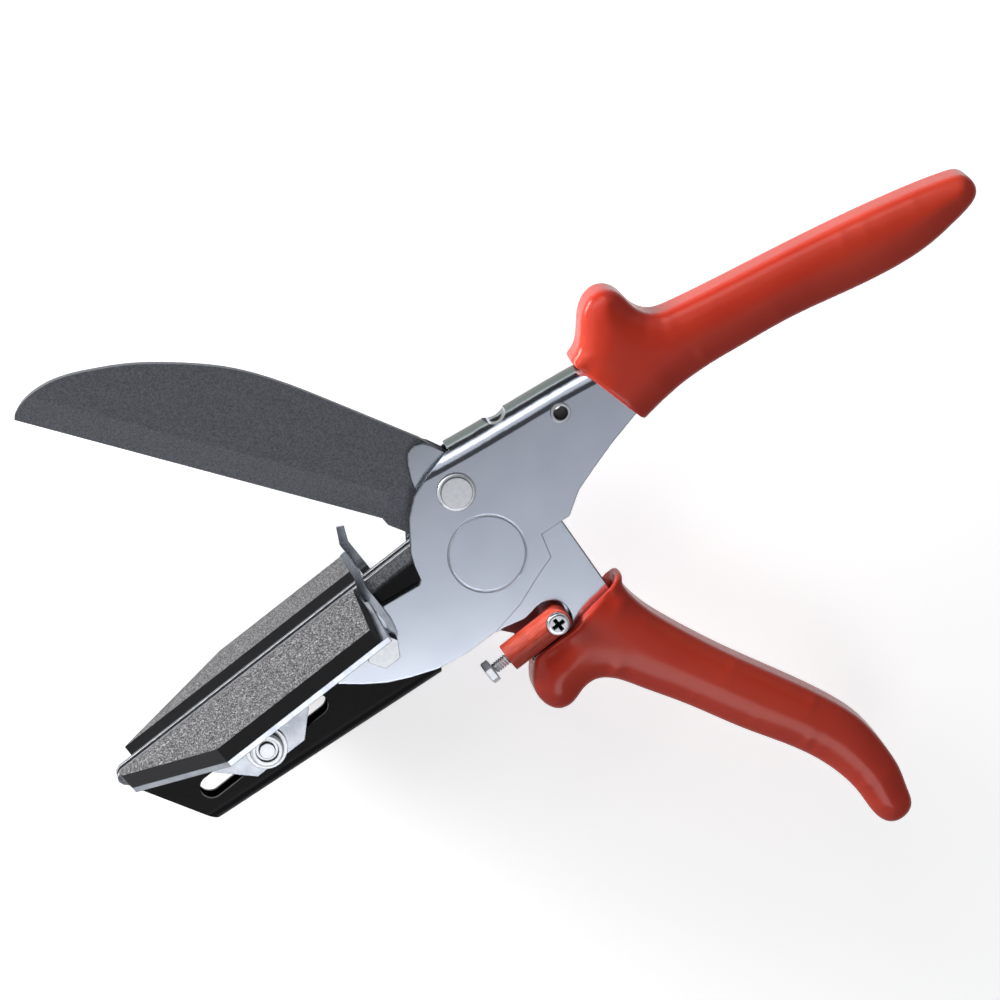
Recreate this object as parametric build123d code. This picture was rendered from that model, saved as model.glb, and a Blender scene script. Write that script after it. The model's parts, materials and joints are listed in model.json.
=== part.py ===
from build123d import *
import os
from math import acos, atan2, cos, hypot, pi, radians, sin, sqrt

os.makedirs("parts", exist_ok=True)

# Cable duct shears, in millimetres.
# The tool lies on its side: X runs along the cutting slot from its tip to the handles, Y points to the
# blade and Z is the thickness.  Everything is drawn round the hinge axis (x = 0, y = 0, z = 0 in the
# middle plane), and the last section moves it to its final origin.

# Sheets, from the middle plane outward
blade_thickness = 2.5
cutting_slot_clearance = 0.15
counter_blade_thickness = 1.4
holder_sheet = 1.2
lever_sheet = 2.0
frame_sheet = 1.6
running_clearance = 0.05
seat_clearance = 0.05
cut_overrun = 5.0

blade_side = blade_thickness / 2
slot_side = blade_side + cutting_slot_clearance
counter_side = slot_side + counter_blade_thickness
holder_side = counter_side + holder_sheet
lever_side = blade_side + lever_sheet
frame_side = holder_side + frame_sheet

# Hinge
hinge_radius = 3.0
hinge_head_radius = 4.9
hinge_head_height = 0.8
hinge_face_radius = 4.0
hinge_face_height = 0.5
hinge_nut_flats = 10.0
hinge_nut_height = 3.2
hinge_end_length = 0.8
hinge_washer_radius = 7.0


def points(shares, size):
    """Outline points, from shares of the size that they follow."""
    return [(across * size, up * size) for across, up in shares]


def face_of(outline):
    """A flat face with straight sides."""
    return make_face(Polyline(*outline, close=True))


def slab(face, low, high):
    """A face raised from one height to another."""
    return Pos(0, 0, low) * extrude(face, high - low)


def rod(radius, low, high, place=(0, 0)):
    """A round bar along the thickness."""
    return Pos(place[0], place[1], 0) * slab(Circle(radius), low, high)


def hexagon(flats, low, high, place=(0, 0)):
    """A hexagonal bar along the thickness."""
    face = RegularPolygon(flats / 2, 6, major_radius=False)
    return Pos(place[0], place[1], 0) * slab(face, low, high)


def both_sides(part):
    """A piece and its mirror image in the middle plane."""
    return part, mirror(part, about=Plane.XY)


# Main frame: one sheet folded to a U along its back, which runs on inside the upper grip
frame_reach = 100.0
frame_back_shares = [(0.049, 0.110), (0.235, 0.084), (0.430, 0.056), (0.620, 0.015), (1.0, -0.058),
                     (1.38, -0.155)]
frame_edge_shares = [(1.38, -0.215), (1.0, -0.165), (0.62, -0.108), (0.469, -0.127), (0.384, -0.147),
                     (0.306, -0.170), (0.243, -0.191), (0.184, -0.229), (0.101, -0.222), (0.084, -0.284),
                     (0.018, -0.306), (-0.049, -0.332), (-0.138, -0.349), (-0.225, -0.347),
                     (-0.313, -0.333), (-0.381, -0.306), (-0.434, -0.280), (-0.481, -0.247),
                     (-0.532, -0.204), (-0.52, -0.13), (-0.316, -0.117), (-0.218, -0.131),
                     (-0.206, -0.122), (-0.196, -0.082), (-0.184, -0.052), (-0.134, 0.020),
                     (-0.091, 0.056), (-0.036, 0.077), (0.045, 0.095)]
frame_bend = 5.5
notch_along_share = 0.195
notch_up_share = 0.106
notch_radius = 3.6
ring_place_shares = (-0.036, -0.175)
ring_radius = 10.0
ring_line_width = 0.35
ring_line_depth = 0.2


def main_frame():
    """The folded plates, the back that joins them and the core of the upper handle."""
    back = points(frame_back_shares, frame_reach)
    edge = points(frame_edge_shares, frame_reach)
    outline = make_face(Spline(*back) + Polyline(back[-1], *edge, back[0]))
    under = [(x, y - frame_sheet) for x, y in back]
    far = 2 * frame_reach
    start, end = under[0], under[-1]
    hollow = make_face(
        Spline(*under)
        + Polyline(end, (end[0] + cut_overrun, end[1]), (end[0] + cut_overrun, -far), (-far, -far),
                   (-far, far), (start[0], far), start)
    )
    solid = slab(outline, -frame_side, frame_side)
    top = [e for e in solid.edges() if e.geom_type == GeomType.BSPLINE]
    solid = fillet(top, frame_bend)
    cavity = slab(hollow, -holder_side, holder_side)
    inner = [e for e in cavity.edges() if e.geom_type == GeomType.BSPLINE]
    solid = solid - fillet(inner, frame_bend - frame_sheet)
    notch = (notch_along_share * frame_reach, notch_up_share * frame_reach)
    solid = solid - rod(notch_radius, -far, far, notch)
    for radius, place in ((hinge_radius, (0, 0)), (stop_bolt_radius, stop_bolt_place),
                          (rivet_outer_radius, rivet_place)):
        solid = solid - rod(radius + seat_clearance, -far, far, place)
    ring = Circle(ring_radius) - Circle(ring_radius - ring_line_width)
    place = (ring_place_shares[0] * frame_reach, ring_place_shares[1] * frame_reach)
    solid = solid - Pos(*place, 0) * slab(ring, frame_side - ring_line_depth, frame_side + cut_overrun)
    return solid


# Lower handle: a narrower sheet folded along its outer side, which swings between the plates
lever_reach = 130.0
lever_hub_radius = 8.8

# Rubber-like sleeves on the handles, each one an outline with rounded edges
grip_side = 7.6
grip_round_share = 0.0233
grip_clearance = 0.1
sleeve_end = 12.0
upper_grip_reach = frame_back_shares[-1][0] * frame_reach + sleeve_end
upper_grip_shares = [(0.2813, 0.056), (0.308, 0.0653), (0.3353, 0.0953), (0.36, 0.1153), (0.384, 0.1207),
                     (0.4053, 0.1113), (0.4167, 0.0907), (0.4207, 0.062), (0.4373, 0.0327), (0.47, 0.0193),
                     (0.604, -0.0093), (0.7527, -0.0400), (0.886, -0.0727), (0.9693, -0.0987),
                     (0.9850, -0.1070), (0.9937, -0.1280), (0.9850, -0.1490), (0.9667, -0.1577),
                     (0.9267, -0.1640), (0.882, -0.1680), (0.806, -0.1627), (0.7107, -0.1427),
                     (0.6093, -0.1187),
                     (0.5253, -0.106), (0.4607, -0.0973), (0.3893, -0.0953), (0.3187, -0.1033),
                     (0.2733, -0.1033), (0.2367, -0.0333), (0.25, 0.0333)]
upper_mouth_shares = [(0.275, 0.08), (0.325, -0.1267)]
lower_grip_reach = lever_reach + sleeve_end
lower_grip_shares = [(0.1282, -0.3063), (0.1268, -0.3415), (0.1331, -0.3824), (0.1493, -0.431),
                     (0.1986, -0.5458), (0.2507, -0.6493), (0.288, -0.7289), (0.3113, -0.8014),
                     (0.3148, -0.8669), (0.3106, -0.9141), (0.2986, -0.9550), (0.2880, -0.9810),
                     (0.2620, -0.9915), (0.2360, -0.9810), (0.2254, -0.9550), (0.2261, -0.9085),
                     (0.2211, -0.8563),
                     (0.1986, -0.7866), (0.1352, -0.6718), (0.0796, -0.5648), (0.0352, -0.4887),
                     (0.0085, -0.4479), (-0.0141, -0.4317), (-0.0437, -0.4310), (-0.0718, -0.4390),
                     (-0.0979, -0.4331), (-0.1127, -0.4085), (-0.112, -0.3775), (-0.0944, -0.3493),
                     (-0.0739, -0.3275), (-0.0282, -0.2817), (0.0352, -0.2535), (0.0986, -0.257),
                     (0.1211, -0.2746)]
lower_mouth_shares = [(-0.1408, 0.0), (0.0141, 0.0021), (0.0563, 0.0106), (0.1, 0.0141), (0.1408, 0.0176)]
mouth_below_catch = 0.9
mouth_depth = 2.2
mouth_gap = 1.0


def grip(shares, reach, mouth, core):
    """A sleeve: a smooth outline with rounded long edges, cut off at its mouth, less the metal core."""
    solid = slab(make_face(Spline(*points(shares, reach), periodic=True)), -grip_side, grip_side)
    rims = [e for e in solid.edges() if abs(e.center().Z) > frame_side]
    solid = fillet(rims, grip_round_share * reach)
    return solid - slab(face_of(mouth), -2 * grip_side, 2 * grip_side) - core


def upper_grip():
    """The upper sleeve, with its hand stop."""
    gap = grip_clearance
    back = [(x, y + gap) for x, y in points(frame_back_shares, frame_reach)]
    edge = [(x + gap, y - gap) for x, y in points(frame_edge_shares, frame_reach)]
    core = make_face(Spline(*back) + Polyline(back[-1], (edge[0][0], back[-1][1]), *edge[:6], back[0]))
    core = slab(core, -frame_side - gap, frame_side + gap)
    core = fillet([e for e in core.edges() if e.geom_type == GeomType.BSPLINE], frame_bend)
    top, bottom = points(upper_mouth_shares, upper_grip_reach)
    mouth = [top, bottom, (0, bottom[1]), (0, top[1])]
    return grip(upper_grip_shares, upper_grip_reach, mouth, core)


# Outline of the lower handle's sheet
lever_top_shares = [(0.031, 0.069), (0.016, 0.100), (0.007, 0.112), (-0.008, 0.1185), (-0.028, 0.115),
                    (-0.040, 0.099), (-0.053, 0.071), (-0.060, 0.048), (-0.075, 0.015),
                    (-0.081, -0.023), (-0.083, -0.092)]
lever_outer_shares = [(-0.0885, -0.154), (-0.109, -0.240), (-0.110, -0.280), (-0.087, -0.308),
                      (-0.085, -0.425), (-0.060, -0.446), (0.0, -0.454), (0.062, -0.523),
                      (0.120, -0.615), (0.181, -0.723), (0.250, -0.854), (0.269, -0.931),
                      (0.277, -1.0)]
lever_inner_shares = [(0.307, -1.0), (0.304, -0.877), (0.281, -0.796), (0.238, -0.704), (0.181, -0.585),
                      (0.119, -0.431), (0.113, -0.355), (0.123, -0.177), (0.065, -0.018)]
cutout_radius = 5.4
cutout_left = 1.2
cutout_slope_shares = [(-0.87, 0.87), (-1.89, 1.15), (-2.43, 1.20)]


def lever_outline():
    """The outline of the lower handle's sides, with its round hub."""
    hub = Circle(lever_hub_radius)
    return face_of(points(lever_top_shares + lever_outer_shares + lever_inner_shares, lever_reach)) + hub


def lower_handle():
    """Two sides and the folded outer edge that joins them, with the catch's cut-out in front."""
    outline = lever_outline()
    far = 2 * lever_reach
    web_line = [(x + lever_sheet, y) for x, y in points(lever_outer_shares, lever_reach)]
    web = face_of([(-far, web_line[0][1])] + web_line + [(-far, web_line[-1][1])])
    solid = slab(outline, -lever_side, lever_side) - slab(outline - web, -blade_side, blade_side)
    slope = points(cutout_slope_shares, cutout_radius)
    corners = [(0, cutout_radius)] + slope
    corners += [(-far, slope[-1][1]), (-far, -cutout_radius), (0, -cutout_radius)]
    window = Circle(cutout_radius) + face_of(corners)
    window = Pos(latch_screw_place[0] - cutout_left, latch_screw_place[1]) * window
    solid = solid - slab(window, -blade_side, lever_side + cut_overrun)
    holes = [(hinge_radius + running_clearance, (0, 0))]
    holes.append((latch_screw_radius + seat_clearance, latch_screw_place))
    for place in points(blade_rivet_shares, blade_reach):
        holes.append((blade_rivet_radius + seat_clearance, place))
    for radius, place in holes:
        solid = solid - rod(radius, -far, far, place)
    return solid


def lower_grip():
    """The lower sleeve, with the hump behind the catch and a hollow mouth round the handle."""
    core = slab(offset(lever_outline(), grip_clearance), -lever_side - grip_clearance,
                lever_side + grip_clearance)
    level = latch_screw_place[1] - latch_radius - mouth_below_catch
    mouth = [(x, y + level) for x, y in points(lower_mouth_shares, lower_grip_reach)]
    mouth += [(mouth[-1][0], 0), (mouth[0][0], 0)]
    wide = lever_side + mouth_gap
    right = lever_reach * lever_inner_shares[6][0] + mouth_gap
    left = latch_screw_place[0] - cutout_radius
    pocket = Pos((right + left) / 2, mouth[1][1], 0) * Box(right - left, 2 * mouth_depth, 2 * wide)
    return grip(lower_grip_shares, lower_grip_reach, mouth, core) - pocket


# Blade: a long curved back and a straight edge with a bevel on both faces
blade_reach = 110.0
blade_back_shares = [(-0.670, 0.758), (-0.645, 0.770), (-0.602, 0.775), (-0.553, 0.768), (-0.466, 0.730),
                     (-0.396, 0.689), (-0.338, 0.645), (-0.283, 0.597), (-0.234, 0.548),
                     (-0.191, 0.494), (-0.141, 0.416), (-0.077, 0.300), (-0.0445, 0.240), (0.009, 0.141)]
blade_tang_shares = [(0.030, 0.085), (0.075, 0.030), (0.078, -0.02), (0.060, -0.10), (-0.075, -0.10),
                     (-0.10, -0.075), (-0.150, -0.009), (-0.170, 0.027), (-0.171, 0.0445)]
blade_tip_share = (-0.676, 0.750)
bevel_width = 7.0
bevel_land = 0.15
blade_rivet_radius = 1.6
blade_rivet_shares = [(0.0355, -0.0804), (-0.0615, -0.0685)]


def blade():
    """The moving blade."""
    back = points(blade_back_shares, blade_reach)
    tang = points(blade_tang_shares, blade_reach)
    tip = (blade_tip_share[0] * blade_reach, blade_tip_share[1] * blade_reach)
    face = make_face(Spline(*back) + Polyline(back[-1], *tang, tip, back[0]))
    solid = slab(face, -blade_side, blade_side)
    heel = tang[-1]
    run = hypot(tip[0] - heel[0], tip[1] - heel[1])
    along = Vector(tip[0] - heel[0], tip[1] - heel[1], 0)
    wedge = Plane(origin=(heel[0], heel[1], 0), x_dir=(along.Y / run, -along.X / run, 0),
                  z_dir=(along.X / run, along.Y / run, 0))
    outside = blade_side + cut_overrun
    corners = [(bevel_width, blade_side), (0, bevel_land), (-cut_overrun, bevel_land),
               (-cut_overrun, outside), (bevel_width, outside)]
    cutter = extrude(wedge * face_of(corners), run + cut_overrun, dir=(along.X / run, along.Y / run, 0))
    for part in both_sides(cutter):
        solid = solid - part
    solid = solid - rod(hinge_radius + running_clearance, -cut_overrun, cut_overrun)
    for place in points(blade_rivet_shares, blade_reach):
        solid = solid - rod(blade_rivet_radius + seat_clearance, -cut_overrun, cut_overrun, place)
    return solid


def blade_rivets():
    """Flush rivets through the blade's tang and the handle's sides."""
    return [rod(blade_rivet_radius, -lever_side, lever_side, place)
            for place in points(blade_rivet_shares, blade_reach)]


# Black holder: a sheet folded along its lower edge, with a long slot in each side
jaw_reach = 110.0
holder_shares = [(-0.150, -0.073), (-1.0, -0.0755), (-0.985, -0.104), (-0.903, -0.253), (-0.890, -0.273),
                 (-0.286, -0.3245)]
holder_bend = 3.4
slot_width = 6.0
slot_length = 33.3
slot_share = -0.706
slot_up_share = -0.198
# Counter-blades: two flat strips with the cutting slot between them
counter_shares = [(-0.127, -0.038), (-0.998, -0.038), (-1.012, -0.045), (-1.016, -0.056),
                  (-1.012, -0.068), (-1.003, -0.077), (-0.955, -0.150), (-0.160, -0.150),
                  (-0.127, -0.080)]
jaw_rivet_shares = [(-0.890, -0.112), (-0.560, -0.118), (-0.236, -0.124)]
jaw_rivet_radius = 1.6
jaw_rivet_collar = 2.5


def anvil_holder():
    """The black folded holder."""
    outline = points(holder_shares, jaw_reach)
    solid = slab(face_of(outline), -holder_side, holder_side)
    low = [e for e in solid.edges() if e.geom_type == GeomType.LINE and abs(e.center().Z) > counter_side
           and abs(e.center().Y - (outline[-1][1] + outline[-2][1]) / 2) < holder_sheet
           and e.length > slot_length]
    solid = fillet(low, holder_bend)
    rise = holder_sheet
    left, right = outline[-2], outline[-1]
    far = 2 * jaw_reach
    cavity = slab(face_of([(left[0] - far, left[1] + rise), (left[0], left[1] + rise),
                           (right[0], right[1] + rise), (right[0] + far, right[1] + rise),
                           (right[0] + far, far), (left[0] - far, far)]), -counter_side, counter_side)
    inner = [e for e in cavity.edges() if abs(e.center().Z) > slot_side and e.length < far
             and e.length > slot_length and e.center().Y < 0]
    solid = solid - fillet(inner, holder_bend - holder_sheet)
    slot = SlotCenterToCenter(slot_length, slot_width)
    solid = solid - Pos(slot_share * jaw_reach, slot_up_share * jaw_reach) * slab(slot, -far, far)
    for place in points(jaw_rivet_shares, jaw_reach):
        solid = solid - rod(jaw_rivet_radius + seat_clearance, -far, far, place)
    solid = solid - rod(stop_bolt_radius + seat_clearance, -far, far, stop_bolt_place)
    return solid


def counter_blade():
    """The front counter-blade."""
    outline = points(counter_shares, jaw_reach)
    solid = slab(face_of(outline), slot_side, counter_side)
    for place in points(jaw_rivet_shares, jaw_reach):
        solid = solid - rod(jaw_rivet_radius + seat_clearance, 0, holder_side, place)
    return solid


def counter_blade_rivets():
    """Flush rivets whose collars keep the cutting slot open."""
    rivets = []
    for place in points(jaw_rivet_shares, jaw_reach):
        collar = rod(jaw_rivet_collar, -slot_side, slot_side, place)
        rivets.append(rod(jaw_rivet_radius, -holder_side, holder_side, place) + collar)
    return rivets


# Tables beside the counter-blades, each a bent sheet that carries a gritty pad
table_sheet = 1.6
table_width = 32.0
table_slope = 6.0
table_top_share = -0.061
pad_thickness = 4.3
table_gap = 0.05
front_table_shares = [(-0.316, 0.0), (-0.316, 0.13), (-0.308, 0.17), (-0.306, 1.0), (-0.762, 1.0),
                      (-0.992, 0.2), (-0.997, 0.0)]
front_pad_shares = [(-0.321, 0.0), (-0.329, 1.0), (-0.762, 1.0), (-0.992, 0.2), (-0.997, 0.0)]
rear_table_shares = [(-0.312, 0.0), (-0.312, 1.0), (-0.682, 1.0), (-0.951, 0.16), (-0.966, 0.0)]
tab_shares = [(-0.570, -0.0), (-0.570, -0.187), (-0.624, -0.241), (-0.760, -0.241), (-0.843, -0.157),
              (-0.843, 0.0)]
pad_inset = 3.2


def shelf(plan, low, high, inset):
    """A sloping plate: its plan gives shares along the jaw and across the table."""
    corners = [(x * jaw_reach, y * table_width + (inset if y == 0 else 0)) for x, y in plan]
    face = Plane(origin=(0, 0, 0), x_dir=(1, 0, 0), z_dir=(0, -1, 0)) * face_of(corners)
    plate = extrude(face, high - low, dir=(0, -1, 0))
    plate = Rot(table_slope, 0, 0) * (Pos(0, -low, 0) * plate)
    inner = holder_side + table_gap + table_sheet * sin(radians(table_slope))
    return Pos(0, table_top_share * jaw_reach, inner) * plate


def table(plan):
    """A sloping shelf with the tab that is clamped against the holder."""
    solid = shelf(plan, 0, table_sheet, 0)
    inner = holder_side + table_gap
    top = table_top_share * jaw_reach - table_sheet / 4
    tab = [(x * jaw_reach, y * jaw_reach if y else top) for x, y in tab_shares]
    tab = slab(face_of(tab), inner, inner + table_sheet)
    notch = Pos(table_bolt_place[0], table_bolt_place[1]) * Circle(table_bolt_radius + seat_clearance)
    return solid + (tab - slab(notch, 0, 2 * inner))


def pad(plan):
    """The thick gritty pad on a shelf."""
    return shelf(plan, -pad_thickness, 0, pad_inset)


# Bolt that clamps both tables through the slots
table_bolt_share = -0.7027
table_bolt_place = (table_bolt_share * jaw_reach, slot_up_share * jaw_reach)
table_bolt_radius = 2.0
table_bolt_head = 7.0
table_bolt_head_height = 2.8
table_washer_radius = 5.4
table_washer_height = 1.0
table_nut_collar_radius = 4.35
table_nut_height = 2.4
table_nut_ring_radius = 2.9
table_nut_ring_depth = 0.7
table_bolt_end = 0.3
washer_ear = 2.6
table_spacer_wall = 1.4


def table_stack():
    """Heights above the middle plane of the washer, the nut and the bolt's end."""
    seat = holder_side + table_gap + table_sheet
    washer_top = seat + table_washer_height
    return seat, washer_top, washer_top + table_nut_height


def table_bolt():
    """A bolt with its hexagon head on the far side."""
    seat, washer_top, nut_top = table_stack()
    shank = rod(table_bolt_radius, -washer_top, nut_top + table_bolt_end, table_bolt_place)
    low = -washer_top - table_bolt_head_height
    return shank + hexagon(table_bolt_head, low, -washer_top, table_bolt_place)


def table_washers():
    """Two wide washers; the front one has a bent-up ear."""
    seat, washer_top, nut_top = table_stack()
    hole = rod(table_bolt_radius + seat_clearance, seat - cut_overrun, nut_top, table_bolt_place)
    ring = rod(table_washer_radius, seat, washer_top, table_bolt_place)
    far_ring = mirror(ring - hole, about=Plane.XY)
    turn = table_washer_radius / sqrt(2)
    ear = Pos(table_bolt_place[0] + turn, table_bolt_place[1] + turn, 0) * Rot(0, 0, 45)
    ear = ear * slab(Rectangle(washer_ear / 2, washer_ear), seat, washer_top + washer_ear / 2)
    return [ring + ear - hole, far_ring]


def table_nut():
    """A round lock nut with a dark recess round the bolt's end."""
    seat, washer_top, nut_top = table_stack()
    collar = rod(table_nut_collar_radius, washer_top, nut_top, table_bolt_place)
    rim = [e for e in collar.edges() if e.center().Z > washer_top]
    collar = fillet(rim, table_nut_ring_depth)
    far = nut_top + cut_overrun
    recess = rod(table_nut_ring_radius, nut_top - table_nut_ring_depth, far, table_bolt_place)
    return collar - recess - rod(table_bolt_radius + seat_clearance, 0, far, table_bolt_place)


def spacer(radius, wall, place):
    """A bush between the two sides of the holder."""
    ring = rod(radius + wall, -counter_side + seat_clearance, counter_side - seat_clearance, place)
    return ring - rod(radius + seat_clearance, -counter_side, counter_side, place)


# Stop fingers ahead of the hinge, which swivel on their bolt
stop_bolt_radius = 2.5
stop_spacer_wall = 0.6
stop_spacer_gap = 0.09
stop_along_share = -0.3536
stop_drop = stop_bolt_radius + stop_spacer_wall + stop_spacer_gap
stop_bolt_place = (stop_along_share * jaw_reach, counter_shares[6][1] * jaw_reach - stop_drop)
stop_head_flats = 8.0
stop_head_height = 3.0
stop_nut_height = 3.6
stop_sheet = 1.2
stop_ear_radius = 3.9
stop_height = 26.4
front_stop_shares = [(0.076, 0.091), (0.155, 0.076), (0.180, 0.205), (0.170, 0.424), (0.170, 0.587),
                     (0.205, 0.700), (0.242, 0.962), (0.307, 0.966), (0.295, 0.720), (0.250, 0.576),
                     (0.250, 0.314), (0.242, 0.152), (0.212, 0.030), (0.114, -0.076)]
rear_stop_shares = [(0.072, 0.117), (0.249, 0.297), (0.266, 0.538), (0.269, 0.925), (0.349, 1.082),
                    (0.416, 1.048), (0.356, 0.902), (0.356, 0.534), (0.349, 0.242), (0.194, -0.050),
                    (0.072, -0.120)]


def stop_finger(shares):
    """A narrow strip that stands up from the ear round its bolt."""
    strip = [(stop_bolt_place[0] + x, stop_bolt_place[1] + y) for x, y in points(shares, stop_height)]
    low = frame_side + running_clearance
    ear = rod(stop_ear_radius, low, low + stop_sheet, stop_bolt_place)
    solid = slab(face_of(strip), low, low + stop_sheet) + ear
    return solid - rod(stop_bolt_radius + running_clearance, 0, 2 * low, stop_bolt_place)


def stop_bolt():
    """A hexagon bolt through the frame, the holder and both fingers."""
    face = frame_side + stop_sheet + 2 * running_clearance
    shank = rod(stop_bolt_radius, -face - stop_nut_height - table_bolt_end, face, stop_bolt_place)
    return shank + hexagon(stop_head_flats, face, face + stop_head_height, stop_bolt_place)


def stop_nut():
    """The nut of the stop bolt."""
    face = frame_side + stop_sheet + 2 * running_clearance
    nut = hexagon(stop_head_flats, -face - stop_nut_height, -face, stop_bolt_place)
    return nut - rod(stop_bolt_radius + seat_clearance, -2 * face, 0, stop_bolt_place)


def pivot_bolt():
    """The hinge bolt with its low round head."""
    tail = frame_side + hinge_nut_height + hinge_end_length
    head = rod(hinge_head_radius, frame_side, frame_side + hinge_head_height)
    rim = [e for e in head.edges() if e.center().Z > frame_side]
    head = fillet(rim, hinge_face_height)
    top = frame_side + hinge_head_height
    return rod(hinge_radius, -tail, frame_side) + head + rod(hinge_face_radius, top, top + hinge_face_height)


def pivot_nut():
    """The nut on the far side of the hinge."""
    nut = hexagon(hinge_nut_flats, -frame_side - hinge_nut_height, -frame_side)
    return nut - rod(hinge_radius + seat_clearance, -2 * frame_side - hinge_nut_height, 0)


def pivot_washers():
    """Thin rings that take up the play between the handle and the plates."""
    low = lever_side + running_clearance
    high = holder_side - running_clearance
    ring = rod(hinge_washer_radius, low, high) - rod(hinge_radius + seat_clearance, 0, 2 * high)
    return list(both_sides(ring))


# Hollow rivet and the opening spring that is wound round it
rivet_place_shares = (0.326, -0.004)
rivet_place = (rivet_place_shares[0] * frame_reach, rivet_place_shares[1] * frame_reach)
rivet_bore_radius = 1.75
rivet_outer_radius = 2.25
rivet_rim_radius = 2.6
rivet_rim_height = 0.25
spring_wire = 0.9
spring_radius = 3.05
spring_low = -3.1
spring_high = 2.25
spring_rest_gap = 0.3
spring_back_shares = (0.205, 0.049)
spring_rest_share = 0.8
spring_turns = 4


def spring_pin():
    """A hollow rivet with rolled rims."""
    top = frame_side + rivet_rim_height
    solid = rod(rivet_outer_radius, -top, top, rivet_place)
    for part in both_sides(rod(rivet_rim_radius, frame_side, top, rivet_place)):
        solid = solid + part
    return solid - rod(rivet_bore_radius, -2 * top, 2 * top, rivet_place)


def biarc(start, start_way, end, end_way):
    """Two arcs from one point and direction to another."""
    gap = end - start
    ways = start_way + end_way
    turn = 2 * (1 - start_way.dot(end_way))
    reach = (sqrt(gap.dot(ways) ** 2 + turn * gap.dot(gap)) - gap.dot(ways)) / turn
    before, after = start + start_way * reach, end - end_way * reach
    middle = (before + after) / 2
    return [TangentArc(start, middle, tangent=start_way), TangentArc(middle, end, tangent=after - before)]


def spring_path():
    """The route of the wire: a leg, the turns and the other leg, with sample points."""
    inner = points(lever_inner_shares, lever_reach)
    lower, upper = inner[-2], inner[-1]
    edge = hypot(lower[0] - upper[0], lower[1] - upper[1])
    out = spring_wire / 2 + spring_rest_gap
    along = [spring_rest_share * (b - a) for a, b in zip(upper, lower)]
    rest = (upper[0] + along[0] + out * (upper[1] - lower[1]) / edge,
            upper[1] + along[1] + out * (lower[0] - upper[0]) / edge)
    back = (spring_back_shares[0] * frame_reach, spring_back_shares[1] * frame_reach)
    ends = []
    for place, sign in ((back, 1), (rest, -1)):
        dx, dy = place[0] - rivet_place[0], place[1] - rivet_place[1]
        ends.append(atan2(dy, dx) + sign * acos(spring_radius / hypot(dx, dy)))
    first, last = ends[0], ends[1]
    while last < first + 2 * pi * (spring_turns - 1):
        last += 2 * pi
    quarters = 4 * spring_turns
    rise = (spring_high - spring_low) / (last - first)

    def spot(angle):
        across, up = spring_radius * cos(angle), spring_radius * sin(angle)
        return Vector(rivet_place[0] + across, rivet_place[1] + up, spring_low + rise * (angle - first))

    def way(angle):
        climb = 0 if angle in (first, last) else rise
        return Vector(-spring_radius * sin(angle), spring_radius * cos(angle), climb).normalized()

    edges = [Line(Vector(*back, spring_low), spot(first))]
    samples = []
    step = (last - first) / quarters
    for count in range(quarters):
        start = first + step * count
        end = last if count == quarters - 1 else start + step
        edges += biarc(spot(start), way(start), spot(end), way(end))
        samples += [(spot(start + step * part / 6), start + step * part / 6) for part in range(6)]
    edges.append(Line(spot(last), Vector(*rest, spring_high)))
    return edges, samples


def torsion_spring():
    """The opening spring, one wire swept along its turns and both legs."""
    edges, samples = spring_path()
    least = min((a - b).length for a, s in samples for b, t in samples if abs(s - t) > pi) - spring_wire
    print("spring: least gap between turns", round(least, 3))
    route = Wire([e.edge() if hasattr(e, "edge") else e for e in edges])
    start = edges[0] @ 0
    section = Plane(origin=start, z_dir=edges[0] % 0) * Circle(spring_wire / 2)
    return sweep(section, path=route)


# Closing catch: a round red bar on its screw, with an adjusting bolt in its end
latch_along_share = -0.0046
latch_drop = 7.4
frame_low = frame_reach * min(up for across, up in frame_edge_shares)
latch_screw_place = (latch_along_share * lever_reach, frame_low - latch_drop)
latch_screw_radius = 1.5
latch_head_radius = 3.0
latch_head_height = 1.5
latch_recess_width = 0.9
latch_recess_length = 3.4
latch_recess_depth = 1.2
latch_nut_flats = 5.5
latch_nut_height = 2.4
latch_radius = 3.7
latch_height = 5.5
latch_left = 15.3
latch_right = 3.4
latch_rest_gap = 0.1
latch_boss_radius = 3.4
latch_seat_depth = 1.0
bolt_radius = 1.5
bolt_head_flats = 5.5
bolt_head_height = 2.0
bolt_head_reach = 22.0
bolt_inside = 7.0
insert_radius = 2.0
insert_length = 9.0
insert_depth = 0.2
bolt_travel_in = 3.0


def latch_bar(radius, start, end):
    """A round bar along the catch, from one distance to another on the left of its screw."""
    centre = (latch_screw_place[0] - start, latch_screw_place[1], latch_height)
    return Pos(*centre) * Rot(0, -90, 0) * slab(Circle(radius), 0, end - start)


def latch_block():
    """The red bar: flat underneath, rounded at the screw, with a boss down to the far side."""
    bar = latch_bar(latch_radius, -latch_right, latch_left)
    length = latch_left + latch_right - latch_radius
    plan = Circle(latch_radius) + Pos(-length / 2, 0) * Rectangle(length, 2 * latch_radius)
    plan = Pos(latch_screw_place[0] + latch_right - latch_radius, latch_screw_place[1]) * plan
    floor = lever_side + latch_rest_gap
    top = latch_height + latch_radius
    bar = bar & slab(plan, floor, top)
    bar = bar + rod(latch_boss_radius, -blade_side, floor + latch_rest_gap, latch_screw_place)
    low = top - latch_seat_depth
    bar = bar - rod(latch_head_radius + latch_rest_gap, low, top + cut_overrun, latch_screw_place)
    bar = bar - rod(latch_screw_radius + running_clearance, -cut_overrun, top, latch_screw_place)
    inside = latch_left - insert_length - bolt_travel_in
    start = latch_left - insert_length
    bar = bar - latch_bar(insert_radius + seat_clearance, start, latch_left + cut_overrun)
    return bar - latch_bar(bolt_radius + running_clearance, inside, latch_left)


def latch_insert():
    """A threaded bush in the end of the catch."""
    start, end = latch_left - insert_length + insert_depth, latch_left - insert_depth
    return latch_bar(insert_radius, start, end) - latch_bar(bolt_radius + running_clearance, 0, latch_left)


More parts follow.
